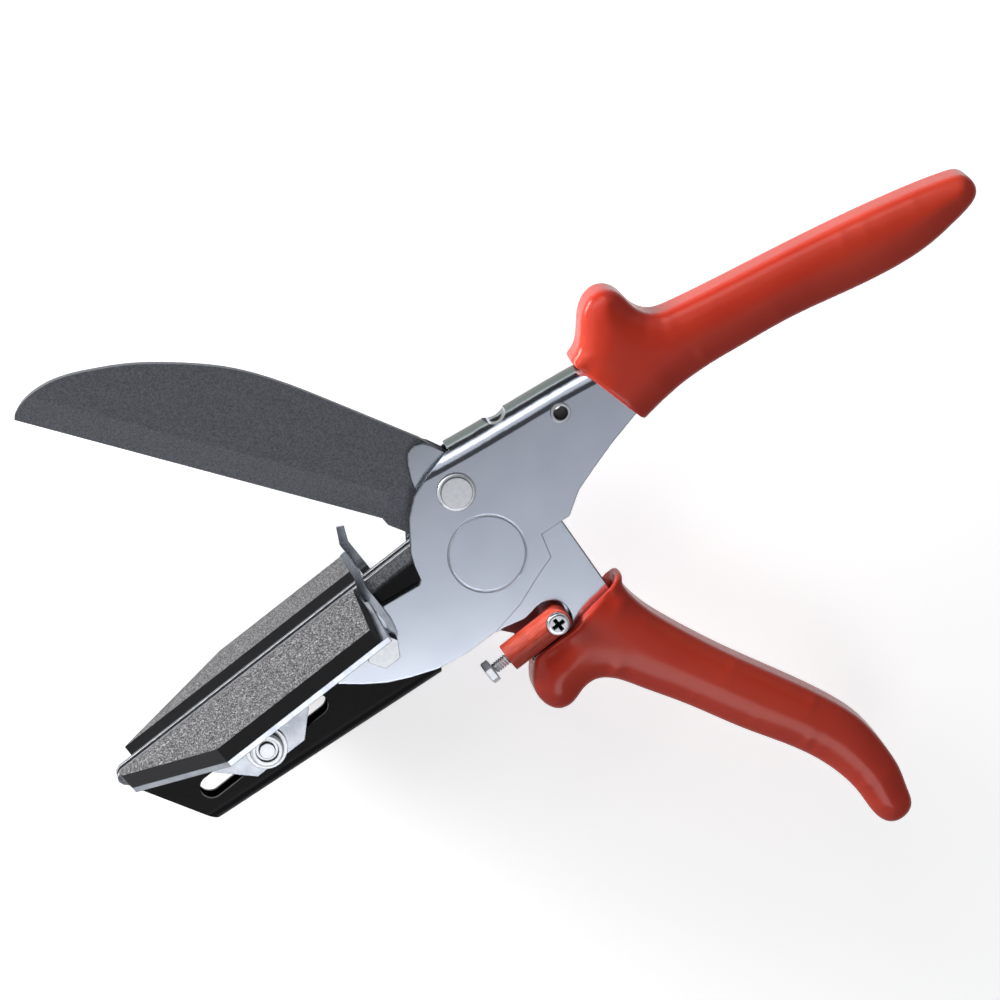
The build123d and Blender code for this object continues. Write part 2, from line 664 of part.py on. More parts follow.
def latch_bolt():
    """The adjusting bolt that props the closed handles."""
    shank = latch_bar(bolt_radius, latch_left - bolt_inside, bolt_head_reach)
    start = bolt_head_reach - bolt_head_height
    head = RegularPolygon(bolt_head_flats / 2, 6, major_radius=False)
    centre = (latch_screw_place[0] - start, latch_screw_place[1], latch_height)
    return shank + Pos(*centre) * Rot(0, -90, 0) * slab(head, 0, bolt_head_height)


def latch_screw():
    """A cross-head screw through the catch and the handle's far side."""
    seat = latch_height + latch_radius - latch_seat_depth
    tail = -lever_side - latch_nut_height - latch_rest_gap
    top = seat + latch_head_height
    head = rod(latch_head_radius, seat, top, latch_screw_place)
    rim = [e for e in head.edges() if e.center().Z > seat]
    head = fillet(rim, latch_head_height / 2)
    cross = Rectangle(latch_recess_width, latch_recess_length)
    cross = cross + Rot(0, 0, 90) * cross
    cross = Pos(*latch_screw_place, 0) * slab(cross, top - latch_recess_depth, top + cut_overrun)
    return rod(latch_screw_radius, tail, seat, latch_screw_place) + head - cross


def latch_nut():
    """The nut of the catch's screw."""
    low = -lever_side - latch_nut_height
    nut = hexagon(latch_nut_flats, low, -lever_side, latch_screw_place)
    return nut - rod(latch_screw_radius + seat_clearance, 2 * low, 0, latch_screw_place)


# All pieces by name
pieces = {
    "main_frame": main_frame(),
    "upper_grip": upper_grip(),
    "lower_handle": lower_handle(),
    "lower_grip": lower_grip(),
    "blade": blade(),
    "blade_rivets": Compound(children=blade_rivets()),
    "pivot_bolt": pivot_bolt(),
    "pivot_nut": pivot_nut(),
    "pivot_washers": Compound(children=pivot_washers()),
    "spring_pin": spring_pin(),
    "torsion_spring": torsion_spring(),
    "anvil_holder": anvil_holder(),
    "front_counter_blade": counter_blade(),
    "rear_counter_blade": mirror(counter_blade(), about=Plane.XY),
    "counter_blade_rivets": Compound(children=counter_blade_rivets()),
    "front_table": table(front_table_shares),
    "rear_table": mirror(table(rear_table_shares), about=Plane.XY),
    "front_pad": pad(front_pad_shares),
    "rear_pad": mirror(pad(rear_table_shares), about=Plane.XY),
    "table_bolt": table_bolt(),
    "table_nut": table_nut(),
    "table_washers": Compound(children=table_washers()),
    "table_spacer": spacer(table_bolt_radius, table_spacer_wall, table_bolt_place),
    "front_stop": stop_finger(front_stop_shares),
    "rear_stop": mirror(stop_finger(rear_stop_shares), about=Plane.XY),
    "stop_bolt": stop_bolt(),
    "stop_nut": stop_nut(),
    "stop_spacer": spacer(stop_bolt_radius, stop_spacer_wall, stop_bolt_place),
    "latch_block": latch_block(),
    "latch_insert": latch_insert(),
    "latch_bolt": latch_bolt(),
    "latch_screw": latch_screw(),
    "latch_nut": latch_nut(),
}

# The final origin: the middle of the whole tool's box, on its lowest face
boxes = [piece.bounding_box() for piece in pieces.values()]
low = [min(getattr(box.min, axis) for box in boxes) for axis in "XYZ"]
high = [max(getattr(box.max, axis) for box in boxes) for axis in "XYZ"]
shift = (-(low[0] + high[0]) / 2, -(low[1] + high[1]) / 2, -low[2])
print("size", [round(b - a, 3) for a, b in zip(low, high)], "hinge axis at", [round(s, 4) for s in shift])
for name, piece in pieces.items():
    export_step(Pos(*shift) * piece, "parts/" + name + ".step")
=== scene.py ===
import json
import math

import bmesh
import bpy
from mathutils import Matrix, Vector
from mathutils.bvhtree import BVHTree


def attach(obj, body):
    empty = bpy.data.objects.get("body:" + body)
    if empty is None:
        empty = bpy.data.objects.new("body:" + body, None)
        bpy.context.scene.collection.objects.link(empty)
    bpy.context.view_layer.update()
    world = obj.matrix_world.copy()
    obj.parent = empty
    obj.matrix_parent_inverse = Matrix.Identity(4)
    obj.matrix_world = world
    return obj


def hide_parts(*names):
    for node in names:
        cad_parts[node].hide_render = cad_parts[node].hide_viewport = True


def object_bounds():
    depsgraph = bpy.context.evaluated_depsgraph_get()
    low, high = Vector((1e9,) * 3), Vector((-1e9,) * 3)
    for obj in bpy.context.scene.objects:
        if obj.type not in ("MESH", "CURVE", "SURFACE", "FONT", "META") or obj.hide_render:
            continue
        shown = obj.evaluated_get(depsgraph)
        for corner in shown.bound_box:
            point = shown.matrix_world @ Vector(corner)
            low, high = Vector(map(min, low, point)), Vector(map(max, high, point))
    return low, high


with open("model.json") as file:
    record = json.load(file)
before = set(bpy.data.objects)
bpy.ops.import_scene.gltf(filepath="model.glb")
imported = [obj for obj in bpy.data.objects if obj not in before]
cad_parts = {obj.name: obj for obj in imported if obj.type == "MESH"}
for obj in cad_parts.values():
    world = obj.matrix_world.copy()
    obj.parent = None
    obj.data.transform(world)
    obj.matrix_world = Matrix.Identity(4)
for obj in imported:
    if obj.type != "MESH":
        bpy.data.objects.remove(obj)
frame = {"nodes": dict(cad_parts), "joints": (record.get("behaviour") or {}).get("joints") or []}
cad_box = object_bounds()
nodes = frame["nodes"]
joints = {joint["name"]: joint for joint in frame["joints"]}
scene = bpy.context.scene
mm = 0.001
hinge = Vector(joints["blade_pivot"]["pos_m"])

# Camera: a long lens that looks down on the shears as they lie on their side.  It leans 15.5 degrees from
# straight above, towards the back of the blade, and is turned so that the jaws point down and to the left.
lean = math.radians(15.5)
lean_way = math.radians(80.7)
thickness_way = math.radians(61.0)
look = Vector((math.sin(lean) * math.cos(lean_way), math.sin(lean) * math.sin(lean_way), math.cos(lean)))
across = (Vector((0, 0, 1)) - look * look.z).normalized()
right = math.cos(thickness_way) * across + math.sin(thickness_way) * look.cross(across)
up = look.cross(right)
view_width = 250 * mm
view_distance = 1500 * mm
aim = hinge + right * 11.6 * mm - up * 3.3 * mm
place = aim + look * view_distance
lens = bpy.data.cameras.new("product_camera")
lens.sensor_width = 36
lens.lens = 36 * view_distance / view_width
lens.clip_end = 20
camera = bpy.data.objects.new("product_camera", lens)
turn = Matrix((right, up, look)).transposed().to_4x4()
camera.matrix_world = Matrix.Translation(place) @ turn
scene.collection.objects.link(camera)
scene.camera = camera
scene.view_settings.view_transform = "Standard"


# Floor: white card under the shears.  The camera sees it brighter than the lamps make it, and reflections a
# little brighter, so that it reads as the white page of a catalogue and still keeps the soft shadow.
def linear(hex_colour):
    """An sRGB hex colour as linear red, green, blue and alpha."""
    parts = [int(hex_colour[i:i + 2], 16) / 255 for i in (1, 3, 5)]
    return [p / 12.92 if p <= 0.04045 else ((p + 0.055) / 1.055) ** 2.4 for p in parts] + [1]


def add(tree, kind, links=None, **settings):
    """Adds a node; settings name its properties or its sockets, links join its sockets to others."""
    node = tree.nodes.new(kind)
    for name, value in settings.items():
        if hasattr(node, name):
            setattr(node, name, value)
        else:
            node.inputs[name.replace("_", " ")].default_value = value
    for name, source in (links or {}).items():
        tree.links.new(source, node.inputs[name])
    return node


def new_material(name):
    """An empty node material and its tree."""
    made = bpy.data.materials.new(name)
    made.use_nodes = True
    made.node_tree.nodes.clear()
    return made, made.node_tree


card_size, card_gap = 6.0, 0.2 * mm
seen_lift, mirrored_lift = 0.56, 0.25
card, tree = new_material("white_card")
paper = add(tree, "ShaderNodeBsdfDiffuse", Color=linear("#F2F2F2"))
path = add(tree, "ShaderNodeLightPath")
mirrored = add(tree, "ShaderNodeMath",
               {0: path.outputs["Is Glossy Ray"], 1: path.outputs["Is Transmission Ray"]},
               operation="MAXIMUM")
mirrored = add(tree, "ShaderNodeMath", {0: mirrored.outputs[0]}, operation="MULTIPLY")
mirrored.inputs[1].default_value = mirrored_lift
lift = add(tree, "ShaderNodeMath", {0: path.outputs["Is Camera Ray"], 2: mirrored.outputs[0]},
           operation="MULTIPLY_ADD")
lift.inputs[1].default_value = seen_lift
glow = add(tree, "ShaderNodeEmission", {"Strength": lift.outputs[0]}, Color=linear("#FFFFFF"))
both = add(tree, "ShaderNodeAddShader", {0: paper.outputs[0], 1: glow.outputs[0]})
add(tree, "ShaderNodeOutputMaterial", {"Surface": both.outputs[0]})
sheet_of_card = bmesh.new()
bmesh.ops.create_grid(sheet_of_card, x_segments=1, y_segments=1, size=card_size)
floor_mesh = bpy.data.meshes.new("card_floor")
sheet_of_card.to_mesh(floor_mesh)
sheet_of_card.free()
floor_mesh.materials.append(card)
floor = bpy.data.objects.new("card_floor", floor_mesh)
floor.location = (0, 0, cad_box[0][2] - card_gap)
scene.collection.objects.link(floor)

# Studio: a white room, dimmer at the right and on matt surfaces, with a low soft lamp at the left, one behind
# the blade and a small one over the tip.  Three dark flags, which only reflections see, give polished steel its
# bands: one hangs overhead, a thin net hangs over the handles and one stands behind the blade.
left_strength, right_strength, matt_share = 0.90, 0.28, 0.45
room = bpy.data.worlds.new("white_room")
room.use_nodes = True
scene.world = room
tree = room.node_tree
tree.nodes.clear()
way = add(tree, "ShaderNodeTexCoord")
beside = add(tree, "ShaderNodeVectorMath", {0: way.outputs["Generated"]}, operation="DOT_PRODUCT")
beside.inputs[1].default_value = right
fall_off = add(tree, "ShaderNodeMapRange", {"Value": beside.outputs["Value"]}, From_Min=-0.8, From_Max=0.8,
               To_Min=left_strength, To_Max=right_strength)
path = add(tree, "ShaderNodeLightPath")
matt = add(tree, "ShaderNodeMapRange", {"Value": path.outputs["Is Diffuse Ray"]}, To_Min=1.0,
           To_Max=matt_share)
strength = add(tree, "ShaderNodeMath", {0: fall_off.outputs["Result"], 1: matt.outputs["Result"]},
               operation="MULTIPLY")
air = add(tree, "ShaderNodeBackground", {"Strength": strength.outputs[0]}, Color=linear("#F6F8FC"))
add(tree, "ShaderNodeOutputWorld", {"Surface": air.outputs[0]})


def soft_lamp(name, from_place, width, height, watts):
    """A rectangular soft lamp that faces the shears; its place, width and height are in metres."""
    data = bpy.data.lights.new(name, "AREA")
    data.shape = "RECTANGLE"
    data.size, data.size_y, data.energy = width, height, watts
    lamp = bpy.data.objects.new(name, data)
    facing = (from_place - aim).to_track_quat("Z", "Y").to_matrix().to_4x4()
    lamp.matrix_world = Matrix.Translation(from_place) @ facing
    scene.collection.objects.link(lamp)


def velvet_flag(name, middle, turned, size, soft_edge, depth):
    """A dark flag of size metres, whose edges fade out over soft_edge; depth is how much light it takes."""
    cloth, tree = new_material(name)
    spot = add(tree, "ShaderNodeTexCoord")
    parts = add(tree, "ShaderNodeSeparateXYZ", {0: spot.outputs["UV"]})
    sides = []
    for axis, length, soft in (("X", size[0], soft_edge[0]), ("Y", size[1], soft_edge[1])):
        from_middle = add(tree, "ShaderNodeMath", {0: parts.outputs[axis]}, operation="SUBTRACT")
        from_middle.inputs[1].default_value = 0.5
        away = add(tree, "ShaderNodeMath", {0: from_middle.outputs[0]}, operation="ABSOLUTE")
        sides.append(add(tree, "ShaderNodeMapRange", {"Value": away.outputs[0]}, From_Min=0.5,
                         From_Max=0.5 - soft / length, interpolation_type="SMOOTHSTEP"))
    black = add(tree, "ShaderNodeMath", {0: sides[0].outputs["Result"], 1: sides[1].outputs["Result"]},
                operation="MULTIPLY")
    black = add(tree, "ShaderNodeMath", {0: black.outputs[0]}, operation="MULTIPLY")
    black.inputs[1].default_value = depth
    nothing = add(tree, "ShaderNodeBsdfTransparent")
    velvet = add(tree, "ShaderNodeBsdfDiffuse", Color=linear("#08090B"))
    cover = add(tree, "ShaderNodeMixShader",
                {0: black.outputs[0], 1: nothing.outputs[0], 2: velvet.outputs[0]})
    add(tree, "ShaderNodeOutputMaterial", {"Surface": cover.outputs[0]})
    made = bmesh.new()
    made.loops.layers.uv.new("UVMap")
    bmesh.ops.create_grid(made, x_segments=1, y_segments=1, size=0.5, calc_uvs=True)
    bmesh.ops.scale(made, vec=(size[0], size[1], 1), verts=made.verts)
    mesh = bpy.data.meshes.new(name)
    made.to_mesh(mesh)
    made.free()
    mesh.materials.append(cloth)
    flag = bpy.data.objects.new(name, mesh)
    flag.matrix_world = Matrix.Translation(middle) @ turned
    flag.visible_camera = False
    flag.visible_diffuse = False
    flag.visible_shadow = False
    scene.collection.objects.link(flag)


soft_lamp("left_softbox", aim - 0.80 * right + 0.30 * up + 0.28 * look, 0.35, 0.35, 16.0)
soft_lamp("back_softbox", hinge + Vector((0.0, 0.75, 0.85)), 1.0, 0.35, 1.8)
soft_lamp("tip_softbox", hinge + Vector((-0.24, -0.40, 0.80)), 0.34, 0.34, 0.75)
lying, standing = Matrix.Identity(4), Matrix.Rotation(math.radians(90), 4, "X")
velvet_flag("overhead_flag", hinge + Vector((0.10, -0.005, 0.80)), lying, (1.0, 0.40), (0.06, 0.03), 0.93)
velvet_flag("grey_net", hinge + Vector((0.30, -0.36, 0.80)), lying, (0.82, 0.36), (0.24, 0.02), 0.10)
velvet_flag("standing_flag", hinge + Vector((0.05, 0.60, 0.17)), standing, (1.30, 0.40), (0.1, 0.04), 1.0)


# Plates and lower handle: bright nickel-plated sheet steel, stamped and folded, with faint waves of tone about
# 17 mm long and a fine grain.  Sheared edges are bare and rough, and are painted dark as a painted
# reflection of dark surroundings: there the normal lies flat and doesn't point at the fold.  Other sharp edges
# get thin dark lines of painted shade, and the outside of the fold is painted a duller grey-green, a painted
# reflection.
def dress(names, material):
    """Gives CAD pieces their material."""
    for name in names:
        mesh = nodes[name].data
        mesh.materials.clear()
        mesh.materials.append(material)


def dark_edge(tree, reach):
    """1 within reach of a sharp edge and 0 elsewhere, and a normal that rounds the edge."""
    rounded = add(tree, "ShaderNodeBevel", Radius=reach, samples=6)
    plain = add(tree, "ShaderNodeNewGeometry")
    turned = add(tree, "ShaderNodeVectorMath", {0: rounded.outputs[0], 1: plain.outputs["Normal"]},
                 operation="DOT_PRODUCT")
    edge = add(tree, "ShaderNodeMapRange", {"Value": turned.outputs["Value"]}, From_Min=0.995, From_Max=0.93)
    return edge.outputs["Result"], rounded.outputs[0]


ring_middle, ring_radius, ring_width = hinge + mm * Vector((-3.6, -17.5, 5.6)), 9.8 * mm, 0.7 * mm
upright, before_fold, fold_starts, fold_full = 0.05, 0.70, 0.74, 0.86
nickel, tree = new_material("nickel_plated_sheet")
spot = add(tree, "ShaderNodeTexCoord")
wave = add(tree, "ShaderNodeTexNoise", {"Vector": spot.outputs["Object"]}, Scale=60.0, Detail=2.0)
grain = add(tree, "ShaderNodeTexNoise", {"Vector": spot.outputs["Object"]}, Scale=1800.0, Detail=3.0)
tone = add(tree, "ShaderNodeValToRGB", {"Fac": wave.outputs["Fac"]})
for stop, share, colour in zip(tone.color_ramp.elements, (0.3, 0.7), ("#DCE3F2", "#E6EDFA")):
    stop.position, stop.color = share, linear(colour)
# Sheared faces are bare steel and are also painted dark as a painted reflection; sharp edges get thin lines of
# painted shade, fainter on a ring round the pivot.
facing = add(tree, "ShaderNodeSeparateXYZ", {0: spot.outputs["Normal"]})
flat = add(tree, "ShaderNodeMath", {0: facing.outputs["Z"]}, operation="ABSOLUTE")
flat = add(tree, "ShaderNodeMath", {0: flat.outputs[0]}, operation="LESS_THAN")
flat.inputs[1].default_value = upright
down = add(tree, "ShaderNodeMath", {0: facing.outputs["Y"]}, operation="LESS_THAN")
down.inputs[1].default_value = before_fold
sheared = add(tree, "ShaderNodeMath", {0: flat.outputs[0], 1: down.outputs[0]}, operation="MULTIPLY")
edge, rounded = dark_edge(tree, 0.4 * mm)
from_ring = add(tree, "ShaderNodeVectorMath", {0: spot.outputs["Object"]}, operation="DISTANCE")
from_ring.inputs[1].default_value = ring_middle
on_ring = add(tree, "ShaderNodeMath", {0: from_ring.outputs["Value"]}, operation="COMPARE")
on_ring.inputs[1].default_value, on_ring.inputs[2].default_value = ring_radius, ring_width
fainter = add(tree, "ShaderNodeMapRange", {"Value": on_ring.outputs[0]}, To_Min=1.0, To_Max=0.3)
edge = add(tree, "ShaderNodeMath", {0: edge, 1: fainter.outputs["Result"]}, operation="MULTIPLY")
bare_and_painted_edge_shade = add(tree, "ShaderNodeMath", {0: sheared.outputs[0], 1: edge.outputs[0]}, operation="MAXIMUM")
skin_tone = add(tree, "ShaderNodeMix", {0: bare_and_painted_edge_shade.outputs[0], 6: tone.outputs["Color"]}, data_type="RGBA")
skin_tone.inputs[7].default_value = linear("#2C3036")
# The outside of the fold is painted a duller grey-green: a painted reflection.
on_fold = add(tree, "ShaderNodeMapRange", {"Value": facing.outputs["Y"]}, From_Min=fold_starts,
              From_Max=fold_full)
painted_fold_reflection = add(tree, "ShaderNodeMix", {0: on_fold.outputs["Result"], 6: skin_tone.outputs[2]},
                data_type="RGBA")
painted_fold_reflection.inputs[7].default_value = linear("#7E8783")
rough = add(tree, "ShaderNodeMapRange", {"Value": bare_and_painted_edge_shade.outputs[0]}, To_Min=0.16, To_Max=0.55)
dents = add(tree, "ShaderNodeBump", {"Height": grain.outputs["Fac"], "Normal": rounded}, Strength=0.015,
            Distance=0.00003)
skin = add(tree, "ShaderNodeBsdfPrincipled",
           {"Base Color": painted_fold_reflection.outputs[2], "Normal": dents.outputs["Normal"],
            "Roughness": rough.outputs["Result"]},
           Metallic=1.0)
add(tree, "ShaderNodeOutputMaterial", {"Surface": skin.outputs[0]})
dress(["main_frame", "lower_handle"], nickel)

# Grips: soft PVC dipped over the handles, glossy red-orange, with a faint orange peel about 1.5 mm across.
# Each sleeve is the plain grip, made even by a remesh, with its faces crowned and its corners smoothed; the
# lower one has a thick lip round its mouth.
pvc, tree = new_material("dipped_pvc")
spot = add(tree, "ShaderNodeTexCoord")
cloud = add(tree, "ShaderNodeTexNoise", {"Vector": spot.outputs["Object"]}, Scale=35.0, Detail=3.0)
tone = add(tree, "ShaderNodeValToRGB", {"Fac": cloud.outputs["Fac"]})
for stop, share, colour in zip(tone.color_ramp.elements, (0.3, 0.7), ("#BC3424", "#CC402C")):
    stop.position, stop.color = share, linear(colour)
peel = add(tree, "ShaderNodeTexNoise", {"Vector": spot.outputs["Object"]}, Scale=700.0, Detail=2.0)
dents = add(tree, "ShaderNodeBump", {"Height": peel.outputs["Fac"]}, Strength=0.08, Distance=0.0001)
skin = add(tree, "ShaderNodeBsdfPrincipled",
           {"Base Color": tone.outputs["Color"], "Normal": dents.outputs["Normal"]},
           Roughness=0.18, IOR=1.45, Specular_IOR_Level=0.4)
add(tree, "ShaderNodeOutputMaterial", {"Surface": skin.outputs[0]})
dress(["upper_grip", "lower_grip"], pvc)
grip_side, crown_width, lip_radius = 7.6 * mm, 9.0 * mm, 1.1 * mm
voxel_size, smoothing_rounds = 0.5 * mm, 10
weld, wall_slack, lip_starts = 0.001 * mm, 0.03 * mm, 0.4 * mm
wall_tilt, turned_in, thinnest_bend = 0.01, -0.02, 0.01 * mm


def crowned_sleeve(node, body, bend, lip):
    """A sleeve whose faces rise in a soft crown over crown_width from its walls, instead of over the bend of
    the plain grip's edges; lip is a bead's path round its mouth."""
    wall_top = grip_side - bend
    made = bmesh.new()
    made.from_mesh(nodes[node].data)
    bmesh.ops.remove_doubles(made, verts=made.verts, dist=weld)
    made.normal_update()
    skin = BVHTree.FromBMesh(made)
    rim = made.copy()
    inside = [f for f in rim.faces if abs(f.normal.z) > wall_tilt
              or abs(max(abs(v.co.z - hinge.z) for v in f.verts) - wall_top) > wall_slack]
    bmesh.ops.delete(rim, geom=inside, context="FACES")
    walls = BVHTree.FromBMesh(rim)
    rim.free()
    if lip:
        path = bpy.data.curves.new(node + "_lip", "CURVE")
        path.dimensions, path.bevel_depth, path.bevel_resolution = "3D", lip_radius, 4
        path.use_fill_caps = True
        line = path.splines.new("NURBS")
        line.points.add(len(lip) - 1)
        for point, spot in zip(line.points, lip):
            point.co = (*(hinge + mm * Vector(spot)), 1)
        line.use_endpoint_u, line.order_u, line.resolution_u = True, 4, 8
        bead = bpy.data.objects.new(node + "_lip", path)
        scene.collection.objects.link(bead)
        bead_mesh = bpy.data.meshes.new_from_object(bead)
        made.from_mesh(bead_mesh)
        bpy.data.objects.remove(bead)
        bpy.data.curves.remove(path)
    mesh = bpy.data.meshes.new(node + "_sleeve")
    made.to_mesh(mesh)
    made.free()
    rough_piece = bpy.data.objects.new(node + "_rough", mesh)
    scene.collection.objects.link(rough_piece)
    voxels = rough_piece.modifiers.new("voxels", "REMESH")
    voxels.mode, voxels.voxel_size = "VOXEL", voxel_size
    even = bpy.data.meshes.new_from_object(rough_piece.evaluated_get(bpy.context.evaluated_depsgraph_get()))
    bpy.data.objects.remove(rough_piece)
    made = bmesh.new()
    made.from_mesh(even)
    for vert in made.verts:
        height = abs(vert.co.z - hinge.z)
        side = 1 if vert.co.z > hinge.z else -1
        _, normal, _, gap = skin.find_nearest(vert.co)
        if height < wall_top or gap > lip_starts or normal.z * side < turned_in:
            continue
        near = walls.find_nearest(Vector((vert.co.x, vert.co.y, hinge.z)))[0]
        inward = min(math.hypot(vert.co.x - near.x, vert.co.y - near.y), crown_width)
        old_top = wall_top + math.sqrt(max(bend ** 2 - max(bend - inward, 0) ** 2, 0))
        new_top = wall_top + bend * math.sqrt(max(1 - (1 - inward / crown_width) ** 2, 0))
        share = (height - wall_top) / max(old_top - wall_top, thinnest_bend)
        vert.co.z -= side * min(share, 1) * (old_top - new_top)
    for _ in range(smoothing_rounds):
        bmesh.ops.smooth_vert(made, verts=made.verts, factor=0.5, use_axis_x=True, use_axis_y=True,
                              use_axis_z=True)
    bmesh.ops.recalc_face_normals(made, faces=made.faces)
    for face in made.faces:
        face.smooth = True
    made.to_mesh(even)
    made.free()
    even.materials.clear()
    even.materials.append(pvc)
    sleeve = bpy.data.objects.new(node + "_sleeve", even)
    scene.collection.objects.link(sleeve)
    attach(sleeve, body)
    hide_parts(node)


lower_lip = [(4.5, -46.5, 5.9), (9, -45.6, 6.2), (14, -45.2, 6.3), (17, -44.6, 6), (18.6, -44, 3.6),
             (18.6, -44, -3.6), (17, -44.6, -6), (14, -45.2, -6.3), (9, -45.6, -6.2), (4.5, -46.5, -5.9)]
crowned_sleeve("upper_grip", "frame", 3.495 * mm, None)
crowned_sleeve("lower_grip", "lever", 3.309 * mm, lower_lip)

# Blade: hardened tool steel, blued dark and ground, riveted between the sides of the lower handle.  That gives
# a dark grey with a fine grain, drawn at about 0.4 mm, coarser than the real one, so that it shows.
blued, tree = new_material("blued_tool_steel")
spot = add(tree, "ShaderNodeTexCoord")
grit = add(tree, "ShaderNodeTexNoise", {"Vector": spot.outputs["Object"]}, Scale=2400.0, Detail=2.0,
           Roughness=0.7)
tone = add(tree, "ShaderNodeValToRGB", {"Fac": grit.outputs["Fac"]})
for stop, share, colour in zip(tone.color_ramp.elements, (0.35, 0.65), ("#515358", "#6E7077")):
    stop.position, stop.color = share, linear(colour)
dents = add(tree, "ShaderNodeBump", {"Height": grit.outputs["Fac"]}, Strength=0.25, Distance=0.00008)
skin = add(tree, "ShaderNodeBsdfPrincipled",
           {"Base Color": tone.outputs["Color"], "Normal": dents.outputs["Normal"]},
           Metallic=0.7, Roughness=0.5)
add(tree, "ShaderNodeOutputMaterial", {"Surface": skin.outputs[0]})
dress(["blade"], blued)

# Counter-blades: the same steel with the dark skin partly ground away, so a lighter grey, mottled at about
# 0.4 mm, with a painted highlight along the edges.  They are riveted into the holder, with the cutting slot
# between.
ground, tree = new_material("ground_tool_steel")
spot = add(tree, "ShaderNodeTexCoord")
grit = add(tree, "ShaderNodeTexNoise", {"Vector": spot.outputs["Object"]}, Scale=2300.0, Detail=3.0,
           Roughness=0.7)
tone = add(tree, "ShaderNodeValToRGB", {"Fac": grit.outputs["Fac"]})
for stop, share, colour in zip(tone.color_ramp.elements, (0.38, 0.62), ("#55575B", "#8A8C91")):
    stop.position, stop.color = share, linear(colour)
edge, rounded = dark_edge(tree, 0.3 * mm)
# A painted highlight along the edges.
painted_edge_highlight = add(tree, "ShaderNodeMix", {0: edge, 6: tone.outputs["Color"]}, data_type="RGBA")
painted_edge_highlight.inputs[7].default_value = linear("#E2E4E8")
skin = add(tree, "ShaderNodeBsdfPrincipled", {"Base Color": painted_edge_highlight.outputs[2], "Normal": rounded},
           Metallic=0.8, Roughness=0.42)
add(tree, "ShaderNodeOutputMaterial", {"Surface": skin.outputs[0]})
dress(["front_counter_blade", "rear_counter_blade"], ground)

# Holder and its rivets: sheet steel folded to a channel, riveted through and then painted satin black.  The
# paint has a faint orange peel about 1 mm across.
black, tree = new_material("satin_black_paint")
spot = add(tree, "ShaderNodeTexCoord")
peel = add(tree, "ShaderNodeTexNoise", {"Vector": spot.outputs["Object"]}, Scale=900.0, Detail=2.0)
tone = add(tree, "ShaderNodeValToRGB", {"Fac": peel.outputs["Fac"]})
for stop, share, colour in zip(tone.color_ramp.elements, (0.3, 0.7), ("#08080A", "#101013")):
    stop.position, stop.color = share, linear(colour)
dents = add(tree, "ShaderNodeBump", {"Height": peel.outputs["Fac"]}, Strength=0.12, Distance=0.0001)
skin = add(tree, "ShaderNodeBsdfPrincipled",
           {"Base Color": tone.outputs["Color"], "Normal": dents.outputs["Normal"]},
           Roughness=0.30, Specular_IOR_Level=0.14)
add(tree, "ShaderNodeOutputMaterial", {"Surface": skin.outputs[0]})
dress(["anvil_holder", "counter_blade_rivets"], black)

# Tables and stop fingers: cut and bent sheet steel, bright zinc-plated, with grey clouds about 5 mm across and
# thin dark lines of painted shade along the edges.  One bolt clamps the tables to the holder and another the
# fingers.
zinc, tree = new_material("bright_zinc_plate")
spot = add(tree, "ShaderNodeTexCoord")
cloud = add(tree, "ShaderNodeTexNoise", {"Vector": spot.outputs["Object"]}, Scale=220.0, Detail=4.0)
tone = add(tree, "ShaderNodeValToRGB", {"Fac": cloud.outputs["Fac"]})
for stop, share, colour in zip(tone.color_ramp.elements, (0.3, 0.7), ("#A0A6B0", "#C2C7CF")):
    stop.position, stop.color = share, linear(colour)
edge, rounded = dark_edge(tree, 0.25 * mm)
# Thin dark lines of painted shade along the edges.
shade = add(tree, "ShaderNodeMix", {0: edge, 6: tone.outputs["Color"]}, data_type="RGBA")
shade.inputs[7].default_value = linear("#4A4F57")
skin = add(tree, "ShaderNodeBsdfPrincipled", {"Base Color": shade.outputs[2], "Normal": rounded},
           Metallic=1.0, Roughness=0.20)
add(tree, "ShaderNodeOutputMaterial", {"Surface": skin.outputs[0]})
dress(["front_table", "rear_table", "front_stop", "rear_stop"], zinc)

# Pads: thick rubber glued on the tables, with a mineral grit of about 0.4 mm on the face that carries the
# duct, and plain black cut sides.
gritty, tree = new_material("gritty_rubber")
spot = add(tree, "ShaderNodeTexCoord")
shape = add(tree, "ShaderNodeNewGeometry")
facing = add(tree, "ShaderNodeSeparateXYZ", {0: shape.outputs["True Normal"]})
on_top = add(tree, "ShaderNodeMath", {0: facing.outputs["Y"]}, operation="GREATER_THAN")
on_top.inputs[1].default_value = 0.5
grit = add(tree, "ShaderNodeTexNoise", {"Vector": spot.outputs["Object"]}, Scale=2300.0, Detail=2.0,
           Roughness=0.8)
stones = add(tree, "ShaderNodeValToRGB", {"Fac": grit.outputs["Fac"]})
for stop, share, colour in zip(stones.color_ramp.elements, (0.48, 0.70), ("#0F0F11", "#B2B0B3")):
    stop.position, stop.color = share, linear(colour)
tone = add(tree, "ShaderNodeMix", {"Factor": on_top.outputs[0]}, data_type="RGBA")
tone.inputs[6].default_value = linear("#141416")
tree.links.new(stones.outputs["Color"], tone.inputs[7])
dents = add(tree, "ShaderNodeBump", {"Height": grit.outputs["Fac"]}, Strength=0.5, Distance=0.0002)
skin = add(tree, "ShaderNodeBsdfPrincipled",
           {"Base Color": tone.outputs[2], "Normal": dents.outputs["Normal"]}, Roughness=0.85)
add(tree, "ShaderNodeOutputMaterial", {"Surface": skin.outputs[0]})
dress(["front_pad", "rear_pad"], gritty)
